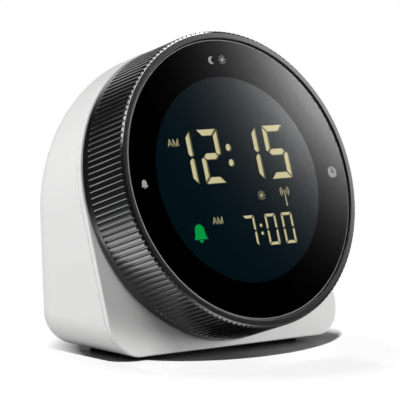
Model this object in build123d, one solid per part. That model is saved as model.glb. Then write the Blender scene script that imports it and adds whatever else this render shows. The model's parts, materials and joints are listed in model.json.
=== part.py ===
from build123d import *
import os
from math import acos, cos, pi, radians, sin, tan

# A small radio-controlled digital alarm clock. Millimetres, +Z up, the display towards -Y.
# The origin lies on the table, under the middle of the whole clock.

# Driving sizes of the case
face_tilt = 19.5            # how far the face leans back, in degrees
back_lean = 5.0             # how far the back leans, its top being further away, in degrees
case_step = 0.2             # how far the case stands out past the bezel at the sides and the top
base_drop = 1.5             # along the face, from the bezel's lowest point down to the case's underside
depth_at_axis = 23.6        # level depth from the face to the back, at the bezel's axis
foot_height = 1.0           # from the table to the case's underside
base_corner_radius = 8.8
back_edge_radius = 8.0
front_edge_radius = 0.4
case_wall = 2.2
cover_rim = 1.4             # thickness of the front cover
parting_gap = 0.15
parting_chamfer = 0.25
skirt_depth = 2.6
skirt_wall = 1.2
skirt_gap = 0.2

# Driving sizes of the turning bezel
bezel_depth = 16.6
bezel_gap = 0.4             # between the bezel and the front cover
bezel_wall = 2.4
groove_count = 154
groove_width = 0.6
groove_root_width = 0.12
groove_depth = 0.3
collar_length = 2.4         # plain band behind the grooves
collar_drop = 0.05
collar_break = 0.45
nose_length = 0.6           # slope in front of the grooves, along the axis
nose_drop = 0.65
lip_break = 0.25
web_thickness = 2.0
web_reach = 1.02            # how far the web stands in from the bezel's inner wall
axial_play = 0.1
running_gap = 0.08

# Driving sizes of the bezel's gear and the encoder that it turns
gear_inset = 1.6            # from the bezel's inner wall in to the gear's pitch circle
gear_teeth = 90
pinion_teeth = 12
gear_lift = 4.4             # from the bezel's rear face up to the gear
gear_width = 3.0
pressure_angle = 20.0
backlash = 0.16
encoder_angle = 30.0
encoder_shaft_radius = 1.0
encoder_depth = 2.5
encoder_socket = 2.0        # how deep the shaft stands in the encoder

# Driving sizes of the pressing lens and its two pivots
lens_margin = 0.2           # from the bezel's inner wall in to the lens's edge
lens_gap = 0.45
lens_recess = 0.4
lens_thickness = 1.8
lens_chamfer = 0.3
film_thickness = 0.1
lens_swing = 1.0            # travel of the lens to each side, in degrees
holder_room = 0.5           # from the display's frame out to the lens holder
holder_wall = 1.8
holder_height = 2.7
gimbal_gap = 0.4
gimbal_wall = 1.4
gimbal_height = 2.0
pivot_rise = 0.75
holder_pin_radius = 0.5
gimbal_pin_radius = 0.55
pin_gap = 0.06

# Driving sizes of the display; the clock is laid out round its window
window_radius = 27.7
lcd_gap = 1.5               # room behind the lens for its travel
lcd_margin = 2.1            # how far the glass reaches past the window
glass_thickness = 1.1
guide_thickness = 2.4
sheet_thickness = 0.2
ledge_width = 1.9           # bare strip of the front glass, for the contacts
lamp_edge = 1.6             # how far the light guide's upper edge is cut back for the lamps
frame_gap = 0.2
frame_wall = 0.9
frame_lip = 0.5
zebra_half = 6.0
zebra_width = 1.1
zebra_gap = 0.4

# Driving sizes of the drum and the main board
floor_thickness = 1.4
neck_gap = 0.3
neck_wall = 1.2
neck_rise = 0.85            # from the pivots up to the neck's rim
shoulder_thickness = 1.4
shoulder_gap = 0.4
drum_gap = 0.75             # from the gear's tooth tips in to the drum
drum_wall = 1.6
board_room = 2.6
board_thickness = 1.6
cover_seat = 6.5            # width of the cover's face that the drum's rim and bosses stand on
drum_boss_radius = 2.6
board_post_inset = 13.0     # from the drum's bore in to the board's posts
board_post_radius = 2.2

# Driving sizes of the screws and switches
case_shank = 1.05
case_screw_length = 9.0
drum_shank = 0.95
board_shank = 0.8
pilot_gap = 0.05
hole_gap = 0.3
well_gap = 0.4
lens_switch_height = 2.5
rear_switch_height = 2.0
switch_half = 2.5
plunger_radius = 0.8
plunger_gap = 0.03

# Driving sizes of the power and the parts on the back
cell_diameter = 10.5
cell_length = 44.5
cell_gap = 0.4
contact_room = 2.2
contact_sheet = 0.4
leaf_thickness = 0.35
contact_half = 4.0
bay_wall = 1.4
door_thickness = 1.6
door_lip = 1.2
door_gap = 0.15
door_corner = 2.0
hook_half = 3.0
hook_side = 14.0
hook_thickness = 1.2
hook_depth = 3.6            # from the door's outer face to the hooks' inner face
hook_room = 0.4
button_radius = 2.9
button_gap = 0.12
button_travel = 0.6
button_flange = 0.6
stem_radius = 1.3
button_side = 9.0           # sideways place of the inner button
button_pitch = 12.0
panel_drop = 2.4            # how far the buttons lie below the middle between bay and antenna
buzzer_share = 0.274        # the buzzer's radius, as a share of the height between bay and antenna
buzzer_depth = 5.0
buzzer_gap = 0.15
sound_hole_radius = 0.8
buzzer_side = 10.0
rod_radius = 3.0
rod_length = 30.0
rod_share = 0.535           # the antenna's height over the bezel's axis, as a share of the bezel's radius
coil_length = 17.0
coil_radius = 3.6
saddle_half = 4.2
foot_radius = 4.0
foot_sink = 0.5
foot_gap = 0.1
lead_radius = 0.4
lead_bend = 2.0

# Heights along the face's normal, counted from the front cover's face
front = bezel_gap + bezel_depth
lens_front = front - lens_recess
lens_back = lens_front - lens_thickness
film_back = lens_back - film_thickness
holder_rear = film_back - holder_height
pivot = holder_rear + pivot_rise
lcd_front = film_back - lcd_gap
lcd_back = lcd_front - 2 * glass_thickness
guide_back = lcd_back - guide_thickness
floor_top = guide_back - sheet_thickness
floor_rear = floor_top - floor_thickness
gear_rear = bezel_gap + gear_lift
gear_front = gear_rear + gear_width
shoulder_rear = gear_front + axial_play
shoulder_front = shoulder_rear + shoulder_thickness
web_rear = shoulder_front + axial_play
web_front = web_rear + web_thickness
board_front = floor_rear - board_room
board_rear = board_front - board_thickness
neck_top = pivot + neck_rise

# Radii about the bezel's axis, from the display's window outwards
lcd_radius = window_radius + lcd_margin
ledge_line = lcd_radius - ledge_width
guide_radius = lcd_radius - 0.4
guide_top = lcd_radius - lamp_edge
frame_bore = lcd_radius + frame_gap
frame_outer = frame_bore + frame_wall
holder_outer = frame_outer + holder_room + holder_wall
switch_circle = holder_outer - holder_wall / 2
gimbal_inner = holder_outer + gimbal_gap
gimbal_outer = gimbal_inner + gimbal_wall
neck_bore = gimbal_outer + neck_gap
neck_radius = neck_bore + neck_wall
web_bore = neck_radius + running_gap
rear_bore = web_bore + web_reach
bezel_radius = rear_bore + bezel_wall
lens_radius = rear_bore - lens_margin
lip_bore = lens_radius + lens_gap
lip_radius = bezel_radius - nose_drop
shoulder_radius = rear_bore - shoulder_gap
gear_pitch = rear_bore - gear_inset
gear_module = 2 * gear_pitch / gear_teeth
gear_tip = gear_pitch - 0.8 * gear_module
gear_root = gear_pitch + gear_module
pinion_pitch = gear_module * pinion_teeth / 2
pinion_tip = pinion_pitch + 0.8 * gear_module
pinion_root = pinion_pitch - 1.05 * gear_module
encoder_circle = gear_pitch - pinion_pitch
drum_radius = gear_tip - drum_gap
drum_bore = drum_radius - drum_wall
drum_boss_circle = drum_bore - drum_boss_radius - 0.2
cover_opening = drum_bore - cover_seat
board_post_circle = drum_bore - board_post_inset
case_width = 2 * (bezel_radius + case_step)
axis_to_base = bezel_radius + base_drop

# Places of the two frames that the parts are drawn in
tilt = radians(face_tilt)
lean = radians(back_lean)
arch_inside = case_width / 2 - back_edge_radius
back_inside = depth_at_axis * cos(lean) - back_edge_radius
face_height = foot_height + axis_to_base * cos(tilt)
reach_forward = front * cos(tilt) + lip_radius * sin(tilt)
edge_centre = (arch_inside * sin(lean) + back_inside * cos(tilt)) / cos(tilt - lean)
reach_back = edge_centre + back_edge_radius
face_y = (reach_forward - reach_back) / 2
front_foot_y = face_y - (face_height - foot_height) * tan(tilt)
back_foot_y = face_y + depth_at_axis - (face_height - foot_height) * tan(lean)
FACE = Plane(origin=(0, face_y, face_height), x_dir=(1, 0, 0), z_dir=(0, -cos(tilt), sin(tilt)))
BACK = Plane(origin=(0, back_foot_y, foot_height), x_dir=(-1, 0, 0), z_dir=(0, cos(lean), -sin(lean)))
FAR = 200.0

# Places up the back, counted from the case's underside along the back
edge_run = back_edge_radius * tan((pi / 2 - lean) / 2)
bay_floor = edge_run + door_lip + 0.6
bay_half = cell_length / 2 + contact_room
bay_top = bay_floor + 2 * cell_diameter + 3 * cell_gap
bay_depth = door_thickness + 2 * cell_gap + cell_diameter
cell_depth = -(door_thickness + cell_gap + cell_diameter / 2)
lower_cell = bay_floor + cell_gap + cell_diameter / 2
upper_cell = lower_cell + cell_diameter + cell_gap
door_low = bay_floor - door_lip + door_gap
door_high = bay_top + door_lip - door_gap
door_half = bay_half + door_lip - door_gap
hook_places = (-hook_side, hook_side)
rod_depth = -(case_wall + 0.5 + coil_radius)
rod_height = axis_to_base * cos(tilt) + rod_share * bezel_radius
panel_height = (bay_top + rod_height) / 2 - panel_drop
buzzer_radius = (rod_height - bay_top) * buzzer_share
saddle_place = (rod_length + coil_length) / 4

# Depths behind the outer face of the back, for the buttons and their board
cap_back = -case_wall - 0.1
flange_back = cap_back - 0.9
stem_end = flange_back - 1.4
plunger_end = stem_end - button_travel - plunger_gap
rear_switch_top = plunger_end - 0.7
rear_board_face = rear_switch_top - rear_switch_height
rear_board_thickness = 1.2
rear_post_radius = 2.1
button_places = (-button_side, -button_side - button_pitch)
post_place = -button_side - button_pitch / 2

# Places of the fasteners, across and up the face
case_post_radius = 3.2
case_boss_radius = 4.0
post_gap = 0.15
low_screw_side = bay_half + bay_wall + case_post_radius + post_gap
low_screw_rise = 23.5
low_screw_height = low_screw_rise - axis_to_base
high_screw_inset = 10.8
high_screw_side = (case_width / 2 - high_screw_inset) * cos(pi / 4)
case_screw_places = [
    (-low_screw_side, low_screw_height), (low_screw_side, low_screw_height),
    (-high_screw_side, high_screw_side), (high_screw_side, high_screw_side)]
drum_boss_angles = (60, 180, 300)
board_post_angles = (0, 120, 240)
mate_height = -10.0
seat_height = mate_height - 3.0


# Helpers for plain forms

def rod(radius, low, high):
    """A cylinder on the local Z axis between two heights."""
    return Pos(0, 0, low) * Cylinder(radius, high - low, align=(Align.CENTER, Align.CENTER, Align.MIN))


def tube(inner, outer, low, high):
    """A rod with a bore right through it."""
    return rod(outer, low, high) - rod(inner, low - 1, high + 1)


def bar_x(radius, x_low, x_high, y, z):
    """A cylinder along X."""
    return Pos(0, y, z) * Rot(0, 90, 0) * rod(radius, x_low, x_high)


def bar_y(radius, y_low, y_high, x, z):
    """A cylinder along Y."""
    return Pos(x, 0, z) * Rot(-90, 0, 0) * rod(radius, y_low, y_high)


def block(x_low, x_high, y_low, y_high, z_low, z_high):
    """A box between two corners."""
    middle = Pos((x_low + x_high) / 2, (y_low + y_high) / 2, (z_low + z_high) / 2)
    return middle * Box(x_high - x_low, y_high - y_low, z_high - z_low)


def turned(points):
    """A solid turned about the local Z axis from (radius, height) points."""
    outline = Polyline(*[(radius, 0, height) for radius, height in points], close=True)
    return revolve(make_face(outline), Axis.Z)


def polar(radius, degrees):
    """A place on a circle."""
    return radius * cos(radians(degrees)), radius * sin(radians(degrees))


def around(points):
    """A flat face from (radius, angle) points, the angles in radians."""
    return make_face(Polyline(*[(r * cos(a), r * sin(a)) for r, a in points], close=True))


def on_face(shape):
    """Carry a shape from the face's frame into the clock's frame."""
    return FACE.location * shape


def on_back(shape):
    """Carry a shape from the back's frame into the clock's frame."""
    return BACK.location * shape


def slab(low, high):
    """Everything between two heights over the front cover's face."""
    return on_face(block(-FAR, FAR, -FAR, FAR, low, high))


def flat_side(shape, direction):
    """The flat face of a shape that looks in one direction and lies furthest that way."""
    sides = [side for side in shape.faces() if side.normal_at().dot(direction) > 0.9999]
    return max(sides, key=lambda side: side.center().dot(direction))


def head_radius(shank_radius):
    """The radius of the head on a screw of this shank."""
    return 2.3 * shank_radius


def screw(shank_radius, length):
    """A cross-head screw with its shank up the local Z axis and its head below."""
    head = head_radius(shank_radius)
    head_height = 1.5 * shank_radius
    body = rod(head, -head_height, 0) + rod(shank_radius, 0, length)
    arm = head * 0.55
    slot = head * 0.12
    cross = block(-arm, arm, -slot, slot, -head_height - 1, -head_height / 2)
    return body - cross - Rot(0, 0, 90) * cross


# The case

def case_form(inset):
    """The outer form of the case, drawn in by inset at the sides, the base and the back."""
    radius = case_width / 2 - inset
    low = -2 * axis_to_base
    arch = ThreePointArc((-radius, 0), (0, radius), (radius, 0))
    outline = Line((-radius, low), (-radius, 0)) + arch
    outline += Line((radius, 0), (radius, low)) + Line((radius, low), (-radius, low))
    prism = extrude(FACE * make_face(outline), amount=-FAR)
    above_base = block(-FAR, FAR, -FAR, FAR, foot_height + inset, FAR)
    before_back = on_back(block(-FAR, FAR, -FAR, FAR, -FAR, -inset))
    form = prism & above_base & before_back
    corners = form.edges().filter_by(Axis.Y).group_by(Axis.Z)[0]
    form = fillet(corners, base_corner_radius - inset)
    form = fillet(flat_side(form, BACK.z_dir).edges(), back_edge_radius - inset)
    half = form & block(-FAR, 0, -FAR, FAR, -FAR, FAR)
    return half + mirror(half, Plane.YZ)


def front_cover():
    """The white front plate with its skirt, four screw posts and the seat of the drum."""
    plate = case_form(0) & slab(-cover_rim, 0)
    plate = fillet(flat_side(plate, FACE.z_dir).edges(), front_edge_radius)
    plate = chamfer(flat_side(plate, -FACE.z_dir).edges(), parting_chamfer)
    inset = case_wall + skirt_gap
    skirt = case_form(inset) - case_form(inset + skirt_wall)
    cover = plate + (skirt & slab(-cover_rim - skirt_depth, -cover_rim))
    for x, y in case_screw_places:
        post = rod(case_post_radius, mate_height, -cover_rim)
        pilot = rod(case_shank + pilot_gap, mate_height - 1, -cover_rim - 1)
        cover += on_face(Pos(x, y, 0) * post)
        cover -= on_face(Pos(x, y, 0) * pilot)
    cover -= on_face(rod(cover_opening, -cover_rim - 1, 1))
    for angle in drum_boss_angles:
        x, y = polar(drum_boss_circle, angle)
        cover -= on_face(Pos(x, y, 0) * rod(drum_shank + hole_gap, -cover_rim - 1, 1))
    return cover


def battery_bay():
    """The walls of the battery bay, in the back's frame."""
    half = bay_half + bay_wall
    deep = -bay_depth - bay_wall
    return block(-half, half, bay_floor - bay_wall, bay_top + bay_wall, deep, -case_wall / 2)


def door_outline(grow, low, high):
    """The door's rounded plate, in the back's frame."""
    half = door_half + grow
    plate = block(-half, half, door_low - grow, door_high + grow, low, high)
    return fillet(plate.edges().filter_by(Axis.Z), door_corner + grow)


def hook_slot(place):
    """The slot in the bay's floor that a hook of the door stands in."""
    reach = hook_half + hook_room
    deep = -hook_depth - hook_room - 0.2
    shallow = -hook_depth + hook_thickness + hook_room
    return block(place - reach, place + reach, bay_floor - bay_wall - 1, bay_floor + 0.1, deep, shallow)


def sound_holes():
    """Small holes over the buzzer: one, then a ring of six and a ring of twelve."""
    hole = rod(sound_hole_radius, -case_wall - 1, 1)
    holes = [Pos(buzzer_side, panel_height, 0) * hole]
    for ring in (1, 2):
        count = 6 * ring
        for number in range(count):
            x, y = polar(ring * buzzer_radius * 0.36, 360 * number / count)
            holes.append(Pos(buzzer_side + x, panel_height + y, 0) * hole)
    return holes


def rear_case():
    """The white rear shell with the battery bay, screw bosses and the seats of the inner parts."""
    outer = case_form(0) & slab(-FAR, -cover_rim - parting_gap)
    outer = chamfer(flat_side(outer, FACE.z_dir).edges(), parting_chamfer)
    case = outer - case_form(case_wall)
    case += on_back(battery_bay())
    within = case_form(case_wall / 2)
    for x, y in case_screw_places:
        case += on_face(Pos(x, y, 0) * rod(case_boss_radius, -FAR / 2, mate_height)) & within
    seat = buzzer_radius + buzzer_gap
    case += on_back(Pos(buzzer_side, panel_height, 0) * tube(seat, seat + 1, -case_wall - 3, -case_wall / 2))
    case += on_back(Pos(post_place, panel_height, 0) * rod(rear_post_radius, rear_board_face, -case_wall / 2))
    saddle_low = rod_height - saddle_half
    saddle_high = rod_height + saddle_half
    for place in (-saddle_place, saddle_place):
        case += on_back(block(place - 1, place + 1, saddle_low, saddle_high, rod_depth - 0.5, -case_wall / 2))
    groove_half = saddle_place + 2
    case -= on_back(bar_x(rod_radius + 0.03, -groove_half, groove_half, rod_height, rod_depth))
    case -= on_back(block(-bay_half, bay_half, bay_floor, bay_top, -bay_depth, 1))
    case -= on_back(door_outline(door_gap, -door_thickness, 1))
    for place in hook_places:
        case -= on_back(hook_slot(place))
    for height in (lower_cell, upper_cell):
        side, level = lead_hole(height)
        passage = rod(lead_radius + hole_gap, -bay_depth - bay_wall - 1, -bay_depth + 1)
        case -= on_back(Pos(side, level, 0) * passage)
    hole = rod(case_shank + hole_gap, seat_height - 1, mate_height + 1)
    well = rod(head_radius(case_shank) + well_gap, -FAR / 2, seat_height)
    for x, y in case_screw_places:
        case -= on_face(Pos(x, y, 0) * (hole + well))
    for place in button_places:
        case -= on_back(Pos(place, panel_height, 0) * rod(button_radius + button_gap, -case_wall - 1, 1))
    pilot = rod(board_shank + pilot_gap, rear_board_face - 1, -case_wall - 1.3)
    case -= on_back(Pos(post_place, panel_height, 0) * pilot)
    case -= [on_back(hole) for hole in sound_holes()]
    for x, y in foot_places():
        case -= Pos(x, y, 0) * rod(foot_radius + foot_gap, 0, foot_height + foot_sink)
    return case


def foot_places():
    """Where the four feet stand: in from the sides, the front edge and the rounded back edge."""
    side = case_width / 2 - base_corner_radius - foot_radius - 2
    front_row = front_foot_y + foot_radius + 4.5
    back_row = back_foot_y - edge_run - foot_radius - 0.6
    return [(x, y) for x in (-side, side) for y in (front_row, back_row)]


def rubber_feet():
    """Four rubber buttons let into the underside."""
    foot = rod(foot_radius, 0, foot_height + foot_sink)
    foot = chamfer(foot.edges().group_by(Axis.Z)[0], 0.3)
    return [Pos(x, y, 0) * foot for x, y in foot_places()]


def case_screws():
    """Four screws that draw the rear case against the front cover's posts."""
    fastener = screw(case_shank, case_screw_length)
    return [on_face(Pos(x, y, seat_height) * fastener) for x, y in case_screw_places]


# The bezel and what it turns

def bezel_ring():
    """The black ring: a plain collar, a band of fine grooves, a sloped nose and a flat lip."""
    band_low = bezel_gap + collar_length
    collar_radius = bezel_radius - collar_drop
    collar = turned([
        (rear_bore, bezel_gap), (collar_radius - collar_break, bezel_gap),
        (collar_radius, bezel_gap + collar_break),
        (collar_radius, band_low), (rear_bore, band_low)])
    spare = 1.0
    nose_start = front - nose_length - spare * nose_length / nose_drop
    blank = turned([
        (rear_bore, band_low), (bezel_radius + spare, band_low), (bezel_radius + spare, nose_start),
        (lip_radius, front), (lip_bore + lip_break, front), (lip_bore, front - lip_break),
        (lip_bore, web_front), (web_bore, web_front), (web_bore, web_rear), (rear_bore, web_rear)])
    root = bezel_radius - groove_depth
    edge = groove_width / 2 / bezel_radius
    floor_edge = groove_root_width / 2 / root
    points = []
    for number in range(groove_count):
        middle = 2 * pi * number / groove_count
        points += [(bezel_radius, middle - edge), (root, middle - floor_edge)]
        points += [(root, middle + floor_edge), (bezel_radius, middle + edge)]
    band = Pos(0, 0, band_low) * extrude(around(points), amount=front - band_low + 1)
    return on_face(collar + (blank & band))


def involute(radius, base):
    """The involute angle at a radius, none inside the base circle."""
    if radius <= base:
        return 0.0
    angle = acos(base / radius)
    return tan(angle) - angle


def half_angle(teeth, radius, play):
    """Half the angle that a tooth of this gear covers at a radius, widened by play at the pitch circle."""
    pitch = gear_module * teeth / 2
    base = pitch * cos(radians(pressure_angle))
    at_pitch = pi / (2 * teeth) + play / (2 * pitch)
    return at_pitch + involute(pitch, base) - involute(radius, base)


def bezel_gear():
    """The toothed ring inside the bezel. It also keeps the bezel on the drum's shoulder."""
    points = []
    for number in range(gear_teeth):
        middle = radians(encoder_angle) + 2 * pi * number / gear_teeth
        radii = (gear_tip, gear_pitch, gear_root)
        points += [(r, middle - half_angle(gear_teeth, r, backlash / 2)) for r in radii]
        points += [(r, middle + half_angle(gear_teeth, r, backlash / 2)) for r in reversed(radii)]
    teeth = Pos(0, 0, gear_rear - 1) * extrude(around(points), amount=gear_width + 2)
    return on_face(rod(rear_bore, gear_rear, gear_front) - teeth)


def at_encoder(shape):
    """Carry a shape to the encoder's shaft, in the face's frame."""
    x, y = polar(encoder_circle, encoder_angle)
    return Pos(x, y, 0) * shape


def encoder_pinion():
    """The small gear on the encoder's shaft, with a tooth in a gap of the bezel's gear."""
    base = pinion_pitch * cos(radians(pressure_angle))
    start = max(base, pinion_root)
    radii = [start + (pinion_tip - start) * step / 3 for step in range(4)]
    points = []
    for number in range(pinion_teeth):
        middle = radians(encoder_angle) + 2 * pi * number / pinion_teeth
        wide = half_angle(pinion_teeth, start, -backlash / 2)
        points.append((pinion_root, middle - wide))
        points += [(r, middle - half_angle(pinion_teeth, r, -backlash / 2)) for r in radii]
        points += [(r, middle + half_angle(pinion_teeth, r, -backlash / 2)) for r in reversed(radii)]
        points.append((pinion_root, middle + wide))
    low = gear_rear + 0.2
    teeth = Pos(0, 0, low) * extrude(around(points), amount=gear_width - 0.4)
    return on_face(at_encoder(teeth - rod(encoder_shaft_radius + 0.01, 0, front)))


def encoder_shaft():
    """The encoder's shaft, through the main board to the pinion."""
    return on_face(at_encoder(rod(encoder_shaft_radius, board_rear - encoder_socket, gear_front - 0.2)))


def encoder_body():
    """The encoder's housing behind the main board, its shaft near the outer edge."""
    inner = encoder_circle - 6.4
    outer = encoder_circle + encoder_shaft_radius + 0.25
    half = 4.5
    housing = block(inner, outer, -half, half, board_rear - encoder_depth, board_rear)
    socket = rod(encoder_shaft_radius + 0.05, board_rear - encoder_socket - 0.1, front)
    return on_face(Rot(0, 0, encoder_angle) * housing - at_encoder(socket))


# The drum that carries the bezel, the display and the main board

def display_drum():
    """The fixed black spool: a base on the front cover, a shoulder for the bezel and a neck in front."""
    drum = turned([
        (drum_bore, 0), (drum_radius, 0), (drum_radius, shoulder_rear), (shoulder_radius, shoulder_rear),
        (shoulder_radius, shoulder_front), (neck_radius, shoulder_front), (neck_radius, neck_top),
        (neck_bore, neck_top), (neck_bore, floor_top), (0, floor_top), (0, floor_rear),
        (drum_bore, floor_rear)])
    for angle in drum_boss_angles:
        drum += Pos(*polar(drum_boss_circle, angle), 0) * rod(drum_boss_radius, 0, floor_rear)
    for angle in board_post_angles:
        drum += Pos(*polar(board_post_circle, angle), 0) * rod(board_post_radius, board_front, floor_rear)
    for angle in drum_boss_angles:
        drum -= Pos(*polar(drum_boss_circle, angle), 0) * rod(drum_shank + pilot_gap, -1, floor_rear - 0.5)
    for angle in board_post_angles:
        pilot = rod(board_shank + pilot_gap, board_front - 1, floor_rear - 0.2)
        drum -= Pos(*polar(board_post_circle, angle), 0) * pilot
    drum -= at_encoder(rod(pinion_tip + 0.6, gear_rear - 0.3, gear_front + 0.05))
    drum -= zebra_form(zebra_gap, floor_rear - 1, floor_top + 1)
    pin_hole = bar_x(gimbal_pin_radius + pin_gap, -neck_radius - 1, neck_radius + 1, 0, pivot)
    drum -= pin_hole - rod(gimbal_outer, 0, front)
    return on_face(drum)


def drum_screws():
    """Three screws through the front cover into the drum."""
    places = [polar(drum_boss_circle, angle) for angle in drum_boss_angles]
    return [on_face(Pos(x, y, -cover_rim) * screw(drum_shank, cover_rim + 5)) for x, y in places]


def main_board():
    """The round board behind the drum's floor, notched round the drum's bosses."""
    board = rod(drum_bore - 0.5, board_rear, board_front)
    for angle in drum_boss_angles:
        board -= Pos(*polar(drum_boss_circle + 1.5, angle), 0) * rod(drum_boss_radius + 1.6, 0, front)
    for angle in board_post_angles:
        board -= Pos(*polar(board_post_circle, angle), 0) * rod(board_shank + hole_gap, 0, front)
    return on_face(board - at_encoder(rod(encoder_shaft_radius + 0.4, 0, front)))


def board_screws():
    """Three screws that hold the main board to the drum's posts."""
    places = [polar(board_post_circle, angle) for angle in board_post_angles]
    return [on_face(Pos(x, y, board_rear) * screw(board_shank, board_thickness + 2)) for x, y in places]


def control_chip():
    """The clock's controller on the back of the main board."""
    half = 6.0
    height = 1.4
    return on_face(block(-half, half, -half, half, board_rear - height, board_rear))


def receiver_chip():
    """The time-signal receiver on the back of the main board."""
    length = 6.0
    width = 5.0
    height = 1.2
    chip = block(0, length, 0, width, board_rear - height, board_rear)
    return on_face(Pos(-0.6 * cover_opening, 0.27 * cover_opening, 0) * chip)


def quartz_crystal():
    """The small can of the clock's crystal, lying on the back of the main board."""
    radius = 1.1
    length = 6.5
    return on_face(Pos(5, 0, 0) * bar_x(radius, 0, length, -10.5, board_rear - radius))


# The display

def chord_disc(radius, low, high, below, above):
    """A disc with its lower and upper edges cut straight."""
    return rod(radius, low, high) & block(-FAR, FAR, -below, above, low - 1, high + 1)


def lcd_panel():
    """Two glass discs; the front one is left bare on its lower edge for the contacts."""
    middle = lcd_front - glass_thickness
    rear_glass = chord_disc(lcd_radius, lcd_back, middle, ledge_line, lcd_radius + 1)
    return on_face(rod(lcd_radius, middle, lcd_front) + rear_glass)


def light_guide():
    """The clear disc that spreads the light behind the display."""
    return on_face(chord_disc(guide_radius, guide_back, lcd_back, ledge_line - 0.1, guide_top))


def reflector_sheet():
    """The white sheet behind the light guide."""
    return on_face(chord_disc(guide_radius, floor_top, guide_back, ledge_line - 0.1, guide_top))


def backlight_leds():
    """Two small lamps that shine into the light guide's upper edge."""
    half = 1.5
    depth = 1.0
    height = 1.8
    low = guide_top + 0.1
    lamp = block(-half, half, low, low + depth, floor_top, floor_top + height)
    return [on_face(Pos(x, 0, 0) * lamp) for x in (-3 * half, 3 * half)]


def lcd_frame():
    """The black ring that holds the glass against the light guide."""
    top = lcd_front + frame_lip
    wall = tube(frame_bore, frame_outer, floor_top, top)
    return on_face(wall + tube(lcd_radius - 0.5, frame_bore + frame_wall / 2, lcd_front, top))


def zebra_form(grow, low, high):
    """The bar of the rubber connector, in the face's frame."""
    half = zebra_half + grow
    edge = -ledge_line - 0.1
    return block(-half, half, edge - zebra_width - grow, edge + grow, low, high)


def zebra_strip():
    """The rubber connector from the main board to the glass's contacts."""
    return on_face(zebra_form(0, board_front, lcd_front - glass_thickness))


# The lens that is pressed at its top, left or right

def lens():
    """The clear front disc."""
    disc = rod(lens_radius, lens_back, lens_front)
    return on_face(chamfer(disc.edges().group_by(Axis.Z)[-1], lens_chamfer))


def mask_film():
    """The black ring behind the lens, open over the display."""
    return on_face(tube(window_radius, lens_radius - 0.2, film_back, lens_back))


def lens_holder():
    """The ring behind the lens, with a pin at the top and one at the bottom."""
    ring = tube(holder_outer - holder_wall, holder_outer, holder_rear, film_back)
    for side in (-1, 1):
        ends = sorted((side * (holder_outer - holder_wall / 2), side * (gimbal_outer - 0.2)))
        ring += bar_y(holder_pin_radius, ends[0], ends[1], 0, pivot)
    return on_face(ring)


def gimbal_ring():
    """The ring round the lens holder, with a pin at each side in the drum's neck."""
    ring = tube(gimbal_inner, gimbal_outer, pivot - gimbal_height / 2, pivot + gimbal_height / 2)
    for side in (-1, 1):
        ends = sorted((side * (gimbal_outer - gimbal_wall / 2), side * (neck_radius - 0.2)))
        ring += bar_x(gimbal_pin_radius, ends[0], ends[1], 0, pivot)
    return on_face(ring - bar_y(holder_pin_radius + pin_gap, -neck_radius, neck_radius, 0, pivot))


def lens_switch(angle):
    """A switch on the drum's floor, its plunger just clear of the fully pressed holder."""
    top = floor_top + lens_switch_height
    plunger_top = holder_rear - switch_circle * sin(radians(lens_swing)) - plunger_gap
    body = block(frame_outer + 0.2, neck_bore - 0.4, -switch_half, switch_half, floor_top, top)
    switch = body + Pos(switch_circle, 0, 0) * rod(plunger_radius, top - 0.1, plunger_top)
    return on_face(Rot(0, 0, angle) * switch)


# Power

def cell(height, side):
    """One cell along X, its raised end towards one side."""
    half = cell_length / 2
    tip_radius = 1.9
    tip_length = 1.0
    body = bar_x(cell_diameter / 2, -half, half - tip_length, height, cell_depth)
    body += bar_x(tip_radius, half - tip_length - 0.1, half, height, cell_depth)
    if side < 0:
        body = mirror(body, Plane.YZ)
    return on_back(body)


def contact(height):
    """A sheet on the bay's end wall with a bowed leaf that meets the cell."""
    touch_gap = 0.02
    rise = contact_room - contact_sheet - touch_gap
    half_chord = 3.0
    bow = (half_chord ** 2 + rise ** 2) / (2 * rise)
    wall = bay_half - contact_sheet
    low = height - contact_half
    high = height + contact_half
    sheet = block(wall, bay_half, low, high, cell_depth - 3, cell_depth + 3)
    centre = bay_half - contact_room + touch_gap + bow
    leaf = Pos(centre, height, 0) * tube(bow - leaf_thickness, bow, cell_depth - 2, cell_depth + 2)
    return sheet + (leaf & block(0, wall + contact_sheet / 2, -FAR, FAR, -FAR, FAR))


def end_contacts():
    """The two separate contacts at the supply end of the bay."""
    return [on_back(contact(height)) for height in (lower_cell, upper_cell)]


def bridge_contact():
    """The contact that joins the two cells at the other end of the bay."""
    strip = block(bay_half - contact_sheet, bay_half, lower_cell, upper_cell, cell_depth - 3, cell_depth + 3)
    return on_back(mirror(contact(lower_cell) + contact(upper_cell) + strip, Plane.YZ))


def battery_door():
    """The door over the bay: a flush plate with a thumb notch and two hooks at its foot."""
    door = door_outline(0, -door_thickness, 0)
    thumb_radius = 6.5
    door -= Pos(0, door_high + 2.5, door_thickness * 2.4) * Sphere(thumb_radius)
    stem_low = bay_floor + 0.2
    stem_high = stem_low + 1
    for place in hook_places:
        low = place - hook_half
        high = place + hook_half
        toe_front = -hook_depth + hook_thickness
        door += block(low, high, stem_low, stem_high, -hook_depth, -door_thickness)
        door += block(low, high, bay_floor - hook_thickness, stem_high, -hook_depth, toe_front)
    return on_back(door)


# Parts on the back

def rear_button(place):
    """A round button, flush with the back, with a flange inside and a stem to its switch."""
    button = rod(button_radius, cap_back, 0)
    button = chamfer(button.edges().group_by(Axis.Z)[-1], 0.3)
    button += rod(button_radius + button_flange, flange_back, cap_back)
    button += rod(stem_radius, stem_end, flange_back)
    return on_back(Pos(place, panel_height, 0) * button)


def rear_switch(place):
    """The switch behind a button."""
    body = block(-switch_half, switch_half, -switch_half, switch_half, rear_board_face, rear_switch_top)
    plunger = rod(plunger_radius, rear_switch_top - 0.1, plunger_end)
    return on_back(Pos(place, panel_height, 0) * (body + plunger))


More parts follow.
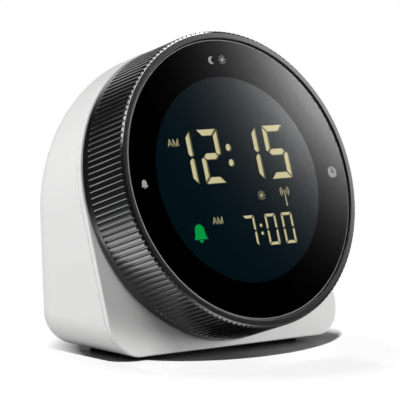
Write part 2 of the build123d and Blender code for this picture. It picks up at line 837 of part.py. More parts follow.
def rear_board():
    """The small board that carries the switches of the buttons."""
    half = 4.5
    low = min(button_places) - half
    high = max(button_places) + half
    deep = rear_board_face - rear_board_thickness
    board = block(low, high, panel_height - half, panel_height + half, deep, rear_board_face)
    return on_back(board - Pos(post_place, panel_height, 0) * rod(board_shank + hole_gap, deep - 1, 0))


def rear_board_screw():
    """The screw that holds the small board on its post."""
    seat = rear_board_face - rear_board_thickness
    return on_back(Pos(post_place, panel_height, seat) * screw(board_shank, rear_board_thickness + 3))


def buzzer():
    """The sounder behind its holes, seated in a ring on the back's inner side."""
    body = rod(buzzer_radius, -case_wall - buzzer_depth, -case_wall)
    body = chamfer(body.edges().group_by(Axis.Z)[0], 0.5)
    body -= rod(buzzer_radius - 1.5, -case_wall - 0.8, 0)
    return on_back(Pos(buzzer_side, panel_height, 0) * body)


def antenna_rod():
    """The ferrite rod that receives the time signal."""
    return on_back(bar_x(rod_radius, -rod_length / 2, rod_length / 2, rod_height, rod_depth))


def antenna_coil():
    """The winding round the middle of the ferrite rod."""
    half = coil_length / 2
    coil = bar_x(coil_radius, -half, half, rod_height, rod_depth)
    return on_back(coil - bar_x(rod_radius + 0.02, -half - 1, half + 1, rod_height, rod_depth))


# Wires

def face_point(x, y, height):
    """A point of the face's frame in the clock's frame."""
    return FACE.from_local_coords((x, y, height))


def back_point(x, y, height):
    """A point of the back's frame in the clock's frame."""
    return BACK.from_local_coords((x, y, height))


def lead(points):
    """A round wire along straight runs with eased bends."""
    route = FilletPolyline(*points, radius=lead_bend)
    section = Plane(origin=route @ 0, z_dir=route % 0) * Circle(lead_radius)
    return sweep(section, route)


def battery_leads():
    """Two wires from the end contacts, through the bay's wall, to the main board."""
    leads = []
    across = -0.68 * cover_opening
    behind_bay = -bay_depth - bay_wall - 2.8
    for height, landing in ((lower_cell, -0.45 * cover_opening), (upper_cell, -0.15 * cover_opening)):
        side, level = lead_hole(height)
        leads.append(lead([
            back_point(side, level, cell_depth), back_point(side, level, behind_bay),
            face_point(across, landing, board_rear - 8), face_point(across, landing, board_rear)]))
    return leads


def lead_hole(height):
    """Where a battery wire leaves the bay, beside the contact of the cell at this height."""
    return bay_half - contact_sheet - lead_radius - 0.02, height + contact_half - lead_radius - 0.1


def panel_leads():
    """Three wires from the buttons' board to the main board."""
    leads = []
    start = rear_board_face - rear_board_thickness
    level = panel_height - 2.5
    landing = 0.36 * cover_opening
    for number in range(3):
        x = 7 + 3 * lead_radius * number
        leads.append(lead([
            back_point(-x, level, start), back_point(-x, level, start - 4.5),
            face_point(x, landing, board_rear - 6.5), face_point(x, landing, board_rear)]))
    return leads


def antenna_leads():
    """Two wires from the antenna's winding to the main board."""
    leads = []
    start = rod_depth - coil_radius
    landing = 0.57 * cover_opening
    for x in (-3, 3):
        leads.append(lead([
            back_point(-x, rod_height, start), back_point(-x, rod_height, start - 3),
            face_point(x, landing, board_rear - 7.5), face_point(x, landing, board_rear)]))
    return leads


# Every node and its solid or solids

nodes = {
    "rear_case": rear_case(),
    "front_cover": front_cover(),
    "rubber_feet": rubber_feet(),
    "case_screws": case_screws(),
    "bezel_ring": bezel_ring(),
    "bezel_gear": bezel_gear(),
    "encoder_pinion": encoder_pinion(),
    "encoder_shaft": encoder_shaft(),
    "encoder_body": encoder_body(),
    "display_drum": display_drum(),
    "drum_screws": drum_screws(),
    "main_board": main_board(),
    "board_screws": board_screws(),
    "control_chip": control_chip(),
    "receiver_chip": receiver_chip(),
    "quartz_crystal": quartz_crystal(),
    "lcd_panel": lcd_panel(),
    "light_guide": light_guide(),
    "reflector_sheet": reflector_sheet(),
    "backlight_leds": backlight_leds(),
    "lcd_frame": lcd_frame(),
    "zebra_strip": zebra_strip(),
    "lens": lens(),
    "mask_film": mask_film(),
    "lens_holder": lens_holder(),
    "gimbal_ring": gimbal_ring(),
    "snooze_switch": lens_switch(90),
    "alarm_switch": lens_switch(180),
    "time_switch": lens_switch(0),
    "upper_battery": cell(upper_cell, 1),
    "lower_battery": cell(lower_cell, -1),
    "end_contacts": end_contacts(),
    "bridge_contact": bridge_contact(),
    "battery_door": battery_door(),
    "receive_button": rear_button(button_places[0]),
    "zone_button": rear_button(button_places[1]),
    "receive_switch": rear_switch(button_places[0]),
    "zone_switch": rear_switch(button_places[1]),
    "rear_board": rear_board(),
    "rear_board_screw": rear_board_screw(),
    "buzzer": buzzer(),
    "antenna_rod": antenna_rod(),
    "antenna_coil": antenna_coil(),
    "battery_leads": battery_leads(),
    "panel_leads": panel_leads(),
    "antenna_leads": antenna_leads(),
}

os.makedirs("parts", exist_ok=True)
for name, shape in nodes.items():
    solids = Compound(children=shape) if isinstance(shape, list) else shape
    export_step(solids, f"parts/{name}.step")

print("face centre", (0, round(face_y, 4), round(face_height, 4)), "normal", tuple(FACE.z_dir))
print("back foot", (0, round(back_foot_y, 4), foot_height), "normal", tuple(BACK.z_dir))
print("encoder place on the face", polar(encoder_circle, encoder_angle), "lens pivot height", pivot)
print("door axis up the back", door_low, "button height up the back", panel_height)
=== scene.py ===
import json
import math

import bmesh
import bpy
from mathutils import Matrix, Vector


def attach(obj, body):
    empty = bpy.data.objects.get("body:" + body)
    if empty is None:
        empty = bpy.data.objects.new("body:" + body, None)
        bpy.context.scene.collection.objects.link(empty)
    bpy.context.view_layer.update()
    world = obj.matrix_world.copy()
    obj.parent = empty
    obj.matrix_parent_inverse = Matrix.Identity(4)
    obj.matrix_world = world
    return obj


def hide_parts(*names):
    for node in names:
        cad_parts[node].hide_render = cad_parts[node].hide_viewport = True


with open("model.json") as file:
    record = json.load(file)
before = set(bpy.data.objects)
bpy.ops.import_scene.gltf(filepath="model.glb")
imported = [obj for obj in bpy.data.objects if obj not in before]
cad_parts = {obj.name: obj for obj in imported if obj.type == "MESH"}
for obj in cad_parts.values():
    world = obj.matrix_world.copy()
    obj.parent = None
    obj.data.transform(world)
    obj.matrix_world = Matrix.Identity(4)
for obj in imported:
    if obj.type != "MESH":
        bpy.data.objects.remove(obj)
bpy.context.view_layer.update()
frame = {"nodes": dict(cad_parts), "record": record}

# A small radio-controlled alarm clock on a pale floor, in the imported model's frame.
# Places in the room are in metres, and what lies on the clock's face is in millimetres.

MM = 0.001

# The face's frame: x across, y up the face, and height out of it
face_tilt = math.radians(19.5)
face_origin = Vector((0, 1.5799, 40.1196)) * MM
face_right = Vector((1, 0, 0))
face_up = Vector((0, math.sin(face_tilt), math.cos(face_tilt)))
face_out = Vector((0, -math.cos(face_tilt), math.sin(face_tilt)))

# Heights over the front cover's face, and the thickness of one printed layer
lcd_front = 13.2
lens_front = 16.6
print_thickness = 0.03


def on_face(x, y, height):
    """A point of the face's frame, given in millimetres."""
    return face_origin + (face_right * x + face_up * y + face_out * height) * MM


def new_object(name, data):
    """An object with the given data, put into the scene."""
    item = bpy.data.objects.new(name, data)
    bpy.context.scene.collection.objects.link(item)
    return item


def frame_of_axes(across, up, back, place):
    """The matrix that puts an object at a place with its own axes along three directions."""
    rows = [(across[axis], up[axis], back[axis], place[axis]) for axis in range(3)]
    return Matrix((*rows, (0, 0, 0, 1)))


# Flat outlines, as lists of (x, y) points in millimetres

def arc(x, y, radius, start, end, steps=16):
    """Points along an arc, its angles in degrees."""
    points = []
    for step in range(steps + 1):
        angle = math.radians(start + (end - start) * step / steps)
        points.append((x + radius * math.cos(angle), y + radius * math.sin(angle)))
    return points


def disc(x, y, radius):
    """A full circle."""
    return arc(x, y, radius, 0, 360, 32)[:-1]


def stroke(start, end, width):
    """A straight bar between two points."""
    along = Vector(end) - Vector(start)
    side = Vector((-along.y, along.x)).normalized() * width / 2
    corners = [Vector(start) - side, Vector(end) - side, Vector(end) + side, Vector(start) + side]
    return [tuple(corner) for corner in corners]


def bow(x, y, radius, start, end, width):
    """A bar bent along an arc."""
    outer = arc(x, y, radius + width / 2, start, end)
    inner = arc(x, y, radius - width / 2, end, start)
    return outer + inner


def moved(outline, x, y, scale=1.0):
    """An outline scaled about its origin and moved."""
    return [(x + scale * px, y + scale * py) for px, py in outline]


def area(outline):
    """The signed area of an outline, positive where it runs anticlockwise."""
    total = 0.0
    for (x0, y0), (x1, y1) in zip(outline, outline[1:] + outline[:1]):
        total += x0 * y1 - x1 * y0
    return total / 2


def anticlockwise(outline):
    """The outline, turned round if it runs clockwise."""
    return outline[::-1] if area(outline) < 0 else outline


def cut_by_line(outline, point, along):
    """The part of a convex outline on the left of a line."""
    kept = []
    for first, second in zip(outline, outline[1:] + outline[:1]):
        first_side = along[0] * (first[1] - point[1]) - along[1] * (first[0] - point[0])
        second_side = along[0] * (second[1] - point[1]) - along[1] * (second[0] - point[0])
        if first_side >= 0:
            kept.append(first)
        if first_side * second_side < 0:
            share = first_side / (first_side - second_side)
            x = first[0] + share * (second[0] - first[0])
            y = first[1] + share * (second[1] - first[1])
            kept.append((x, y))
    return kept


def shared(outline, other, inset=0.0):
    """The part of one convex outline that lies inside another, drawn in by inset."""
    for start, end in zip(other, other[1:] + other[:1]):
        along = (end[0] - start[0], end[1] - start[1])
        length = math.hypot(*along)
        point = (start[0] - along[1] / length * inset, start[1] + along[0] / length * inset)
        outline = cut_by_line(outline, point, along)
        if len(outline) < 3:
            return []
    return outline


# Seven-segment figures

lit_bars = {"0": "abcdef", "1": "bc", "2": "abged", "5": "afgcd", "7": "abc"}
bar_gap = 0.1


def bars_of_figure(figure, left, low, width, height, bar):
    """The outlines of a figure's lit bars, with mitred ends."""
    right = left + width
    high = low + height
    middle = low + height / 2
    half = bar / 2
    outlines = {
        "a": [(left, high), (left + bar, high - bar), (right - bar, high - bar), (right, high)],
        "d": [(left, low), (right, low), (right - bar, low + bar), (left + bar, low + bar)],
        "g": [(left + half, middle), (left + bar, middle - half), (right - bar, middle - half),
              (right - half, middle), (right - bar, middle + half), (left + bar, middle + half)],
        "b": [(right, high), (right - bar, high - bar), (right - bar, middle + half), (right - half, middle),
              (right, middle + half / 2)],
        "c": [(right, low), (right, middle - half / 2), (right - half, middle), (right - bar, middle - half),
              (right - bar, low + bar)],
        "f": [(left, high), (left, middle + half / 2), (left + half, middle), (left + bar, middle + half),
              (left + bar, high - bar)],
        "e": [(left, low), (left + bar, low + bar), (left + bar, middle - half), (left + half, middle),
              (left, middle - half / 2)],
    }
    bars = []
    for name in lit_bars[figure]:
        outline = anticlockwise(outlines[name])
        bars.append(shared(outline, outline, bar_gap))
    return bars


def figures(placed, low, height, bar):
    """The bars of several figures, each given with its left edge and its width."""
    bars = []
    for figure, left, width in placed:
        bars += bars_of_figure(figure, left, low, width, height, bar)
    return bars


# Signs, drawn in shares of their own height, radius or line width

def bell(x, y, height):
    """A bell with a flared rim and a clapper, as two outlines round its middle."""
    body = arc(0, 0.14, 0.3, 0, 180) + [(-0.33, -0.12), (-0.44, -0.33), (0.44, -0.33), (0.33, -0.12)]
    clapper = arc(0, -0.375, 0.12, 180, 360)
    return [moved(body, x, y, height), moved(clapper, x, y, height)]


def sun(x, y, radius, width):
    """A small disc with eight rays."""
    outlines = [disc(x, y, radius * 0.46)]
    centre = Vector((x, y))
    for number in range(8):
        angle = math.pi * number / 4
        ray = Vector((math.cos(angle), math.sin(angle)))
        outlines.append(stroke(centre + ray * radius * 0.7, centre + ray * radius, width))
    return outlines


def moon(x, y, radius):
    """A crescent, open to the right."""
    outer = arc(x, y, radius, 50, 310, 28)
    inner = arc(x + radius * 0.62, y, radius * 0.77, 265, 95, 20)
    return [outer + inner]


def mast(x, y, height, width):
    """A radio mast: a tapered post under a dot, with two waves on each side."""
    low = y - height * 0.5
    top = y + height * 0.2
    dot = top + height * 0.06
    post = [(x - width * 0.7, low), (x + width * 0.7, low), (x + width * 0.35, top), (x - width * 0.35, top)]
    outlines = [post, disc(x, dot, width * 0.85)]
    for radius in (height * 0.17, height * 0.29):
        outlines.append(bow(x, dot, radius, -48, 48, width * 0.75))
        outlines.append(bow(x, dot, radius, 132, 228, width * 0.75))
    return outlines


def half_day_letters(x, y, height, width):
    """The two letters for the morning half of the day, round their middle."""
    half = height / 2
    low = y - half
    high = y + half
    a_left = x - height * 0.9
    a_right = a_left + height * 0.72
    a_middle = (a_left + a_right) / 2
    a_inset = height * 0.16
    a_bar = y - half * 0.35
    m_left = x + height * 0.08
    m_right = m_left + height * 0.8
    m_middle = (m_left + m_right) / 2
    return [
        stroke((a_left, low), (a_middle, high), width),
        stroke((a_right, low), (a_middle, high), width),
        stroke((a_left + a_inset, a_bar), (a_right - a_inset, a_bar), width * 0.8),
        stroke((m_left, low), (m_left, high), width),
        stroke((m_right, low), (m_right, high), width),
        stroke((m_left, high), (m_middle, low), width),
        stroke((m_right, high), (m_middle, low), width)]


# Meshes

def finished_piece(name, mesh, materials, body):
    """A piece of the clock from an edited mesh, with its materials, riding on a body."""
    data = bpy.data.meshes.new(name)
    mesh.to_mesh(data)
    mesh.free()
    for material in materials:
        data.materials.append(material)
    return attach(new_object(name, data), body)


def flat_piece(name, outlines, low, body, material):
    """A thin raised print on the face: each outline becomes a closed slab."""
    mesh = bmesh.new()
    for outline in map(anticlockwise, outlines):
        under = [mesh.verts.new(on_face(x, y, low)) for x, y in outline]
        over = [mesh.verts.new(on_face(x, y, low + print_thickness)) for x, y in outline]
        mesh.faces.new(over)
        mesh.faces.new(under[::-1])
        for number in range(len(outline)):
            following = (number + 1) % len(outline)
            mesh.faces.new([under[number], under[following], over[following], over[number]])
    return finished_piece(name, mesh, [material], body)


def turned_piece(name, stations, radius_at, surface_at, body, materials, angles):
    """A closed form round the face's axis: stations of (radius, height, surface), joined in a loop.

    radius_at gives a station's radius at an angle. surface_at gives the number of a face's material
    from its station and its place in the turn."""
    mesh = bmesh.new()
    count = len(angles)
    rings = []
    for station in stations:
        radius, height = station[:2]
        if radius == 0:
            rings.append([mesh.verts.new(on_face(0, 0, height))] * count)
            continue
        ring = []
        for angle in angles:
            reach = radius_at(radius, height, angle)
            ring.append(mesh.verts.new(on_face(reach * math.cos(angle), reach * math.sin(angle), height)))
        rings.append(ring)
    for number, ring in enumerate(rings):
        following = rings[(number + 1) % len(rings)]
        if ring[0] == ring[1] and following[0] == following[1]:
            continue
        for step in range(count):
            after = (step + 1) % count
            corners = [ring[step], ring[after], following[after], following[step]]
            face = mesh.faces.new(list(dict.fromkeys(corners)))
            face.material_index = surface_at(stations[number], step)
            face.smooth = True
    bmesh.ops.recalc_face_normals(mesh, faces=mesh.faces)
    piece = finished_piece(name, mesh, materials, body)
    piece.data.set_sharp_from_angle(angle=math.radians(30))
    return piece


def rounded(start, corner, end, steps=4):
    """Points of a rounded corner between two points of a profile."""
    points = []
    for step in range(steps + 1):
        share = step / steps
        a, b, c = (1 - share) ** 2, 2 * share * (1 - share), share ** 2
        points.append((a * start[0] + b * corner[0] + c * end[0], a * start[1] + b * corner[1] + c * end[1]))
    return points


def square_sheet(name, half):
    """A flat square round the origin, half being half its side."""
    mesh = bpy.data.meshes.new(name)
    corners = [(-half, -half, 0), (half, -half, 0), (half, half, 0), (-half, half, 0)]
    mesh.from_pydata(corners, [], [(0, 1, 2, 3)])
    return new_object(name, mesh)


# Node trees of materials and of the world

def shader(name, **values):
    """A material with a principled shader, its sockets set from words such as base_color."""
    material = bpy.data.materials.new(name)
    material.use_nodes = True
    principled = material.node_tree.nodes["Principled BSDF"]
    for word, value in values.items():
        socket = principled.inputs[word.replace("_", " ").title().replace("Ior", "IOR")]
        socket.default_value = (*value, 1.0) if isinstance(value, tuple) and len(value) == 3 else value
    return material


def add(owner, kind, **values):
    """A new node in a material or the world, with values for its sockets or settings."""
    node = owner.node_tree.nodes.new(kind)
    for word, value in values.items():
        if hasattr(node, word):
            setattr(node, word, value)
        else:
            node.inputs[word.replace("_", " ").title()].default_value = value
    return node


def join(owner, output, target):
    """A link between two sockets."""
    owner.node_tree.links.new(output, target)


def larger(owner, first, second):
    """The socket with the larger of two values."""
    node = add(owner, "ShaderNodeMath", operation="MAXIMUM")
    join(owner, first, node.inputs[0])
    join(owner, second, node.inputs[1])
    return node.outputs["Value"]


def distance_from(owner, centre):
    """The socket with the distance from a point in the object's own frame."""
    place = add(owner, "ShaderNodeTexCoord")
    distance = add(owner, "ShaderNodeVectorMath", operation="DISTANCE")
    join(owner, place.outputs["Object"], distance.inputs[0])
    distance.inputs[1].default_value = centre
    return distance.outputs["Value"]


# Materials

# The scale of a moulding's clouds and grain, and how far its gloss varies
cloud_scale = 90.0
grain_scale = 2500.0
gloss_spread = 0.12

# Numbers of the colour sockets of a mix node
mix_first = 6
mix_second = 7
mix_result = 2


def moulded(name, colour, roughness, relief=0.000004, spread=0.06, **values):
    """A moulded surface: slight unevenness in colour and gloss, and a fine grain in relief."""
    material = shader(name, base_color=colour, roughness=roughness, **values)
    principled = material.node_tree.nodes["Principled BSDF"]
    place = add(material, "ShaderNodeTexCoord")
    broad = add(material, "ShaderNodeTexNoise", scale=cloud_scale, detail=3.0)
    fine = add(material, "ShaderNodeTexNoise", scale=grain_scale, detail=2.0)
    join(material, place.outputs["Object"], broad.inputs["Vector"])
    join(material, place.outputs["Object"], fine.inputs["Vector"])
    shade = add(material, "ShaderNodeMapRange", to_min=1.0 - spread, to_max=1.0 + spread * 0.5)
    join(material, broad.outputs["Fac"], shade.inputs["Value"])
    tint = add(material, "ShaderNodeMix", data_type="RGBA", blend_type="MULTIPLY")
    tint.inputs["Factor"].default_value = 1.0
    tint.inputs[mix_first].default_value = (*colour, 1.0)
    join(material, shade.outputs["Result"], tint.inputs[mix_second])
    join(material, tint.outputs[mix_result], principled.inputs["Base Color"])
    gloss = add(material, "ShaderNodeMapRange",
                to_min=roughness * (1 - gloss_spread), to_max=roughness * (1 + gloss_spread))
    join(material, fine.outputs["Fac"], gloss.inputs["Value"])
    join(material, gloss.outputs["Result"], principled.inputs["Roughness"])
    bump = add(material, "ShaderNodeBump", strength=0.5, distance=relief)
    join(material, fine.outputs["Fac"], bump.inputs["Height"])
    join(material, bump.outputs["Normal"], principled.inputs["Normal"])
    return material


def polished(name, colour, roughness, **values):
    """A clear moulding, its polish a little uneven."""
    material = shader(name, base_color=colour, roughness=roughness, ior=1.49, **values)
    principled = material.node_tree.nodes["Principled BSDF"]
    place = add(material, "ShaderNodeTexCoord")
    noise = add(material, "ShaderNodeTexNoise", scale=60.0, detail=2.0)
    join(material, place.outputs["Object"], noise.inputs["Vector"])
    gloss = add(material, "ShaderNodeMapRange", to_min=roughness * 0.5, to_max=roughness * 1.5)
    join(material, noise.outputs["Fac"], gloss.inputs["Value"])
    join(material, gloss.outputs["Result"], principled.inputs["Roughness"])
    return material


def glowing(name, colour, strength):
    """A lit sign of the display, with a faint unevenness. Little of its light is reflected light."""
    dim = tuple(0.1 * level for level in colour)
    material = shader(name, base_color=dim, roughness=0.6, emission_color=colour, specular_ior_level=0.0)
    principled = material.node_tree.nodes["Principled BSDF"]
    place = add(material, "ShaderNodeTexCoord")
    noise = add(material, "ShaderNodeTexNoise", scale=900.0, detail=2.0)
    join(material, place.outputs["Object"], noise.inputs["Vector"])
    level = add(material, "ShaderNodeMapRange", to_min=strength * 0.9, to_max=strength * 1.1)
    join(material, noise.outputs["Fac"], level.inputs["Value"])
    join(material, level.outputs["Result"], principled.inputs["Emission Strength"])
    return material


# Finishes that only the scene's own pieces use
satin_black = moulded("bezel_satin", (0.007, 0.007, 0.0075), 0.3, relief=0.000003, ior=1.6)
# A flat grey on the lens's rim and bevel: a painted highlight in place of the light line along the lens's
# edge
rim_painted_highlight = moulded("rim_painted_highlight", (0.17, 0.17, 0.17), 0.4)
print_grey = moulded("print_grey", (0.3, 0.3, 0.3), 0.5)
print_dark = moulded("print_dark", (0.004, 0.004, 0.004), 0.5)
cream = (0.58, 0.53, 0.30)
cream_lit = glowing("figure_lit", cream, 0.95)
cream_shade = glowing("figure_shade", (0.15, 0.137, 0.065), 0.8)
sign_lit = glowing("sign_lit", cream, 0.6)
green_lit = glowing("bell_green", (0.002, 0.30, 0.055), 0.95)
green_shade = glowing("bell_shade", (0.002, 0.10, 0.03), 0.8)

# Finishes of the record's material slots
finish_of_slot = {
    "white_plastic": moulded("white_plastic", (0.80, 0.80, 0.795), 0.5, spread=0.02, specular_ior_level=0.3),
    "black_plastic": moulded("bezel_black", (0.007, 0.007, 0.0075), 0.17, relief=0.000002, ior=1.6),
    "inner_black_plastic": moulded("inner_black", (0.012, 0.012, 0.012), 0.5),
    "grey_plastic": moulded("button_grey", (0.32, 0.32, 0.33), 0.4),
    "acetal": moulded("gear_plastic", (0.62, 0.6, 0.53), 0.3),
    "rubber": moulded("foot_rubber", (0.016, 0.016, 0.016), 0.75, relief=0.00001),
    "steel": moulded("plated_steel", (0.55, 0.55, 0.55), 0.3, metallic=1.0),
    "contact_metal": moulded("nickel_sheet", (0.62, 0.6, 0.57), 0.24, metallic=1.0),
    "board": moulded("board_green", (0.012, 0.09, 0.035), 0.4, spread=0.2),
    "chip": moulded("chip_black", (0.014, 0.014, 0.015), 0.55),
    "display_glass": moulded("display_glass", (0.0011, 0.0067, 0.0102), 0.5, spread=0.1, relief=0.0,
                             specular_ior_level=0.0),
    "clear_plastic": polished("guide_clear", (0.9, 0.93, 0.93), 0.1, transmission_weight=0.9),
    "lens_clear": polished("lens_clear", (1.0, 1.0, 1.0), 0.02, transmission_weight=1.0),
    "mask_black": moulded("mask_black", (0.0002, 0.0002, 0.0002), 0.6, spread=0.1, relief=0.0,
                          specular_ior_level=0.0),
    "white_sheet": moulded("white_sheet", (0.8, 0.8, 0.78), 0.6),
    "cell_wrap": moulded("cell_wrap", (0.05, 0.06, 0.07), 0.3, spread=0.2),
    "ferrite": moulded("ferrite", (0.02, 0.02, 0.021), 0.5),
    "copper_wire": moulded("copper_wire", (0.45, 0.16, 0.06), 0.35, metallic=1.0),
    "wire_jacket": moulded("wire_jacket", (0.3, 0.02, 0.015), 0.45),
}
for entry in frame["record"]["subparts"]:
    surface = frame["nodes"][entry["node"]].data.materials
    surface.clear()
    surface.append(finish_of_slot[entry["material_slot"]])

# The bezel: the same ring as the solid, with its edges and groove shoulders rounded

bezel_radius = 40.0
bezel_rear = 0.4
bezel_front = 17.0
band_rear = 2.8
rear_step = 0.06
nose_length = 0.6
nose_drop = 0.65
nose_rear = bezel_front - nose_length
collar_radius = bezel_radius - 0.03
lip_radius = bezel_radius - nose_drop
lip_bore = 37.85
rear_bore = 37.6
web_bore = 36.58
web_rear = 9.4
web_front = 11.4

# The grooves: half their width at the top and at the root, their depth, and the drop of their shoulders
groove_count = 154
groove_half = 0.34
groove_root = 0.1
groove_depth = 0.36
groove_ramp = 0.34
shoulder_drop = 0.16
ridge_flat = groove_half + shoulder_drop * 1.6

# How far the rounded edges reach, and how far from an edge a further point keeps the flats even
rear_rounding = 0.5
nose_rounding = 0.1
lip_rounding = 0.08
bore_rounding = 0.12
collar_support = 0.15
nose_support = 0.3
lip_support = 0.2
bore_support = 0.45
satin_front = nose_rear - 0.2

# Places across one groove and the ridge beside it, with their depth
wall_top = groove_half - (groove_half - groove_root) * shoulder_drop / groove_depth
groove_side = [(groove_root, groove_depth)]
groove_side += rounded((wall_top, shoulder_drop), (groove_half, 0.0), (groove_half + shoulder_drop, 0.0))
groove_side.append((ridge_flat, 0.0))
groove_profile = [(-across, depth) for across, depth in groove_side[::-1]] + groove_side
groove_profile.append((math.pi * bezel_radius / groove_count, 0.0))
bezel_angles = []
depth_at_angle = {}
for number in range(groove_count):
    for across, depth in groove_profile:
        angle = 2 * math.pi * number / groove_count + across / bezel_radius
        bezel_angles.append(angle)
        depth_at_angle[angle] = depth


def grooved(radius, height, angle):
    """The ring's radius at a place: its profile, cut back by the grooves in the band and the nose."""
    ramp = min(max((height - band_rear - rear_step) / groove_ramp, 0.0), 1.0)
    return min(radius, bezel_radius - depth_at_angle[angle] * ramp)


def bezel_surface(station, step):
    """Satin, number 1, on the ridges' tops and the collar; smoother in the grooves, on the nose and lip."""
    height = station[1]
    sides = (bezel_angles[step], bezel_angles[(step + 1) % len(bezel_angles)])
    on_ridge = all(depth_at_angle[angle] == 0 for angle in sides)
    on_collar = height < band_rear + rear_step
    behind_nose = bezel_rear < height < satin_front
    return 1 if behind_nose and (on_ridge or on_collar) else 0


def on_nose(share):
    """A point of the sloped nose, at a share of its length."""
    return (bezel_radius - nose_drop * share, nose_rear + nose_length * share)


bezel_profile = [(rear_bore, bezel_rear)]
bezel_profile += rounded(
    (collar_radius - rear_rounding, bezel_rear), (collar_radius, bezel_rear),
    (collar_radius, bezel_rear + rear_rounding))
bezel_profile += [
    (collar_radius, band_rear - collar_support), (collar_radius, band_rear),
    (bezel_radius, band_rear + rear_step), (bezel_radius, band_rear + rear_step + groove_ramp),
    (bezel_radius, nose_rear - nose_support)]
bezel_profile += rounded((bezel_radius, nose_rear - nose_rounding), (bezel_radius, nose_rear), on_nose(0.12))
bezel_profile += [on_nose(share) for share in (0.3, 0.47, 0.6, 0.8)]
bezel_profile += rounded(on_nose(0.9), (lip_radius, bezel_front), (lip_radius - lip_rounding, bezel_front))
bezel_profile += [(lip_radius - lip_support, bezel_front), (lip_bore + bore_support, bezel_front)]
bezel_profile += rounded(
    (lip_bore + bore_rounding, bezel_front), (lip_bore, bezel_front), (lip_bore, bezel_front - bore_rounding))
bezel_profile += [(lip_bore, web_front), (web_bore, web_front), (web_bore, web_rear), (rear_bore, web_rear)]
bezel = turned_piece("bezel", bezel_profile, grooved, bezel_surface, "bezel",
                     [finish_of_slot["black_plastic"], satin_black], bezel_angles)
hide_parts("bezel_ring")

# The lens: clear, with a grey ring on its rim and bevelled front edge as a painted highlight, and painted
# black behind except for the window

lens_radius = 37.7
lens_back = 14.8
window_radius = 27.7
lens_edge = 0.12
highlight_width = 0.34
lens_segments = 384
clear_part, painted_part, highlight_part = 0, 1, 2
# The rim's flat ring and its bevel take the grey of the painted highlight
lens_profile = [
    (0, lens_front, clear_part),
    (lens_radius - highlight_width, lens_front, highlight_part),
    (lens_radius - lens_edge, lens_front, highlight_part),
    (lens_radius, lens_front - lens_edge, painted_part),
    (lens_radius, lens_back, painted_part),
    (window_radius, lens_back, clear_part),
    (0, lens_back, clear_part)]
lens_angles = [2 * math.pi * number / lens_segments for number in range(lens_segments)]


def round_turn(radius, height, angle):
    """The radius of a plain round form: its profile's own."""
    return radius


def own_surface(station, step):
    """The surface that a station names."""
    return station[2]


lens = turned_piece("front_lens", lens_profile, round_turn, own_surface, "lens_plate",
                    [finish_of_slot["lens_clear"], finish_of_slot["mask_black"], rim_painted_highlight], lens_angles)
lens.visible_shadow = False
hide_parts("lens", "mask_film")

# What the display shows: two times, each figure with its left edge and its width, and signs between them

large_time = (("1", -19.6, 7.4), ("2", -10.05, 7.4), ("1", 3.6, 7.4), ("5", 13.1, 7.9))
large_bar = 1.95
large_figures = figures(large_time, low=-0.5, height=14.8, bar=large_bar)
large_figures += [disc(0.15, dot, radius=1.0) for dot in (8.95, 4.8)]
small_time = (("7", -0.1, 4.2), ("0", 7.55, 4.15), ("0", 13.4, 4.2))
small_bar = 1.0
small_figures = figures(small_time, low=-18.05, height=8.6, bar=small_bar)
small_figures += [disc(5.86, dot, radius=0.5) for dot in (-12.45, -14.6)]
signs = half_day_letters(-18.6, 11.2, height=1.95, width=0.26)
signs += half_day_letters(-8.85, -10.15, height=1.85, width=0.25)
signs += sun(8.2, -4.45, radius=1.3, width=0.3)
signs += mast(16.6, -5.2, height=5.2, width=0.36)

# The shade along a bar's right and lower edges, in shares of the bar's width
shade_shift = (-0.26, 0.08)


def lit_part(outlines, bar):
    """What is left lit of each bar beside its shade."""
    shift = (shade_shift[0] * bar, shade_shift[1] * bar)
    parts = [shared(outline, moved(outline, *shift)) for outline in outlines]
    return [part for part in parts if part]


lit_layer = lcd_front + print_thickness
flat_piece("large_figures_shade", large_figures, lcd_front, "housing", cream_shade)
flat_piece("small_figures_shade", small_figures, lcd_front, "housing", cream_shade)
flat_piece("large_figures", lit_part(large_figures, large_bar), lit_layer, "housing", cream_lit)
flat_piece("small_figures", lit_part(small_figures, small_bar), lit_layer, "housing", cream_lit)
flat_piece("display_signs", signs, lcd_front, "housing", sign_lit)
flat_piece("display_bell_shade", bell(-15.5, -13.05, height=5.35), lcd_front, "housing", green_shade)
flat_piece("display_bell", bell(-15.75, -13.0, height=5.1), lit_layer, "housing", green_lit)

# Prints on the lens: a bell at the left, a clock at the right, and a moon and a sun at the top

top_sign = 32.1
clock_x = 32.8
clock_y = -0.2
hand_width = 0.3
hand_tail = hand_width / 2
lens_prints = bell(-33.15, 0.45, height=2.5) + [disc(clock_x, clock_y, radius=1.55)]
lens_prints += moon(-1.9, top_sign, radius=1.05) + sun(1.9, top_sign, radius=1.2, width=0.3)
clock_hands = [
    stroke((clock_x, clock_y - hand_tail), (clock_x, clock_y + 1.05), hand_width),
    stroke((clock_x - hand_tail, clock_y), (clock_x + 0.8, clock_y), hand_width)]
flat_piece("lens_prints", lens_prints, lens_front, "lens_plate", print_grey)
flat_piece("clock_sign_hands", clock_hands, lens_front + print_thickness, "lens_plate", print_dark)

# The floor

floor_half = 3.0
fade_centre = (0, -0.012, 0)
fade_start = 0.04
fade_end = 0.049
shade_seen = 0.3
shade_unseen = 0.12
floor = square_sheet("floor", floor_half)


